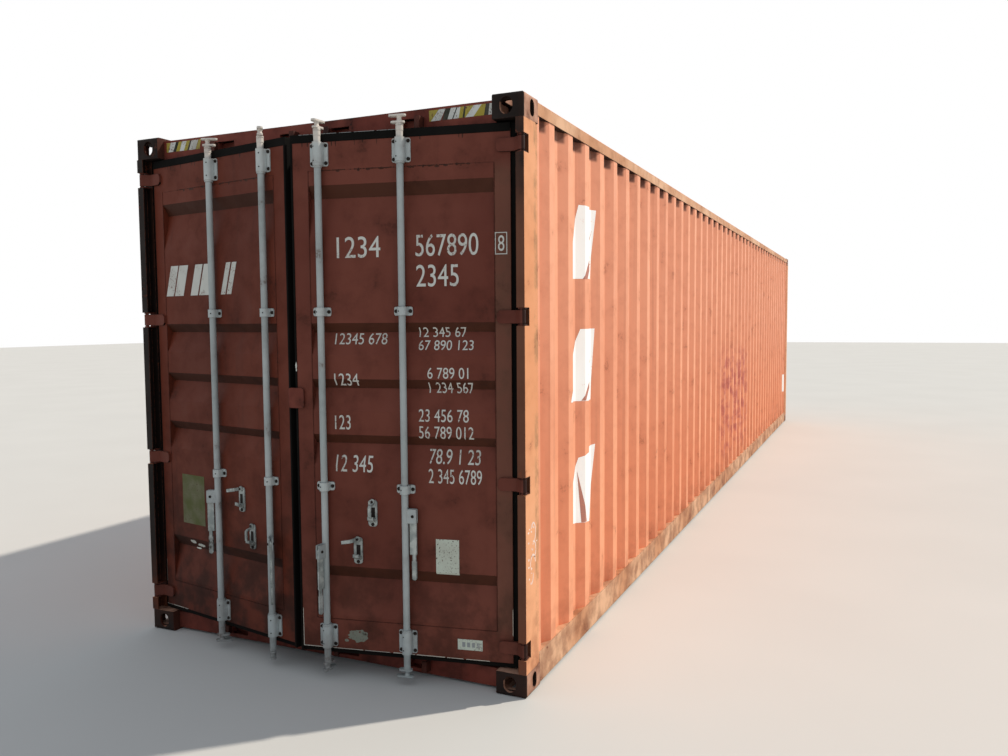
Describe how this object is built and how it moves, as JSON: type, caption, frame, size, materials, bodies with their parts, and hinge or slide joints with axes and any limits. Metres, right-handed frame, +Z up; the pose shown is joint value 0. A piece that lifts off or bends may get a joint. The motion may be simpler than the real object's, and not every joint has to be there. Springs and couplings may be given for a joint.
{
  "type": "shipping container",
  "caption": "Long steel freight container with corrugated walls, hollow corner castings and a pair of side-hung doors closed by turning locking bars.",
  "frame": {"origin": "middle of the container's footprint at the height of the bottom castings' lower faces", "axes": "+X along the length away from the doors, +Y towards the left side, +Z up"},
  "size_m": [12.4257, 2.438, 2.896],
  "materials": {
    "body_paint": "weathered",
    "door_paint": "weathered",
    "casting_steel": "weathered",
    "gear_steel": "weathered",
    "gasket_rubber": "weathered",
    "floor_wood": "weathered"
  },
  "bodies": {
    "container": {"top_corner_castings": "casting_steel", "bottom_corner_castings": "casting_steel", "rear_right_post": "body_paint", "rear_left_post": "body_paint", "front_right_post": "body_paint", "front_left_post": "body_paint", "door_header": "door_paint", "door_sill": "door_paint", "cam_keepers": "door_paint", "hinge_pins": "door_paint", "front_top_rail": "body_paint", "front_bottom_rail": "body_paint", "right_top_rail": "body_paint", "left_top_rail": "body_paint", "right_bottom_rail": "body_paint", "left_bottom_rail": "body_paint", "right_side_wall": "body_paint", "left_side_wall": "body_paint", "front_wall": "body_paint", "roof": "body_paint", "floor_boards": "floor_wood", "cross_members": "body_paint", "gooseneck_tunnel": "body_paint"},
    "right_door": {"right_door_frame": "door_paint", "right_door_panel": "door_paint", "right_door_gasket": "gasket_rubber", "right_hinge_blades": "door_paint", "right_bar_brackets": "gear_steel", "right_handle_catches": "gear_steel", "customs_plate": "door_paint"},
    "left_door": {"left_door_frame": "door_paint", "left_door_panel": "door_paint", "left_door_gasket": "gasket_rubber", "left_hinge_blades": "door_paint", "left_bar_brackets": "gear_steel", "left_handle_catches": "gear_steel"},
    "right_outer_bar": {"right_outer_bar": "gear_steel"},
    "right_outer_handle": {"right_outer_handle": "gear_steel"},
    "right_outer_hasp": {"right_outer_hasp": "gear_steel"},
    "right_inner_bar": {"right_inner_bar": "gear_steel"},
    "right_inner_handle": {"right_inner_handle": "gear_steel"},
    "right_inner_hasp": {"right_inner_hasp": "gear_steel"},
    "left_outer_bar": {"left_outer_bar": "gear_steel"},
    "left_outer_handle": {"left_outer_handle": "gear_steel"},
    "left_outer_hasp": {"left_outer_hasp": "gear_steel"},
    "left_inner_bar": {"left_inner_bar": "gear_steel"},
    "left_inner_handle": {"left_inner_handle": "gear_steel"},
    "left_inner_hasp": {"left_inner_hasp": "gear_steel"}
  },
  "joints": [
    {"name": "right_door_hinge", "type": "hinge", "parent": "container", "child": "right_door", "pos_m": [-6.078, -1.201, 1.44], "axis": [0, 0, 1], "range_deg": [-11, 253]},
    {"name": "left_door_hinge", "type": "hinge", "parent": "container", "child": "left_door", "pos_m": [-6.078, 1.201, 1.44], "axis": [0, 0, -1], "range_deg": [-10.5, 253.5]},
    {"name": "right_outer_bar_turn", "type": "hinge", "parent": "right_door", "child": "right_outer_bar", "pos_m": [-6.18461, -0.6054, 1.448], "axis": [0, 0, -1], "range_deg": [0, 180]},
    {"name": "right_inner_bar_turn", "type": "hinge", "parent": "right_door", "child": "right_inner_bar", "pos_m": [-6.26703, -0.18133, 1.448], "axis": [0, 0, 1], "range_deg": [0, 105]},
    {"name": "left_outer_bar_turn", "type": "hinge", "parent": "left_door", "child": "left_outer_bar", "pos_m": [-6.1794, 0.60449, 1.448], "axis": [0, 0, 1], "range_deg": [0, 145]},
    {"name": "left_inner_bar_turn", "type": "hinge", "parent": "left_door", "child": "left_inner_bar", "pos_m": [-6.25813, 0.17972, 1.448], "axis": [0, 0, -1], "range_deg": [0, 141]},
    {"name": "right_outer_handle_lift", "type": "hinge", "parent": "right_outer_bar", "child": "right_outer_handle", "pos_m": [-6.17659, -0.64663, 0.868], "axis": [-0.9816, -0.1908, 0], "range_deg": [0, 90]},
    {"name": "right_inner_handle_lift", "type": "hinge", "parent": "right_inner_bar", "child": "right_inner_handle", "pos_m": [-6.30893, -0.17841, 0.672], "axis": [0.0698, 0.9976, 0], "range_deg": [0, 90]},
    {"name": "left_outer_handle_lift", "type": "hinge", "parent": "left_outer_bar", "child": "left_outer_handle", "pos_m": [-6.19682, 0.64271, 0.868], "axis": [0.91, 0.4147, 0], "range_deg": [0, 90]},
    {"name": "left_inner_handle_lift", "type": "hinge", "parent": "left_inner_bar", "child": "left_inner_handle", "pos_m": [-6.29007, 0.15245, 0.672], "axis": [-0.6494, 0.7604, 0], "range_deg": [0, 90]},
    {"name": "right_outer_hasp_turn", "type": "hinge", "parent": "right_door", "child": "right_outer_hasp", "pos_m": [-6.20521, -0.42603, 0.928], "axis": [0.9816, 0.1908, 0], "range_deg": [-90, 90]},
    {"name": "right_inner_hasp_turn", "type": "hinge", "parent": "right_door", "child": "right_inner_hasp", "pos_m": [-6.22085, -0.34554, 0.732], "axis": [0.9816, 0.1908, 0], "range_deg": [-170, 10]},
    {"name": "left_outer_hasp_turn", "type": "hinge", "parent": "left_door", "child": "left_outer_hasp", "pos_m": [-6.19844, 0.42495, 0.928], "axis": [-0.9833, 0.1822, 0], "range_deg": [-10, 170]},
    {"name": "left_inner_hasp_turn", "type": "hinge", "parent": "left_door", "child": "left_inner_hasp", "pos_m": [-6.21338, 0.34433, 0.732], "axis": [-0.9833, 0.1822, 0], "range_deg": [-90, 90]}
  ]
}
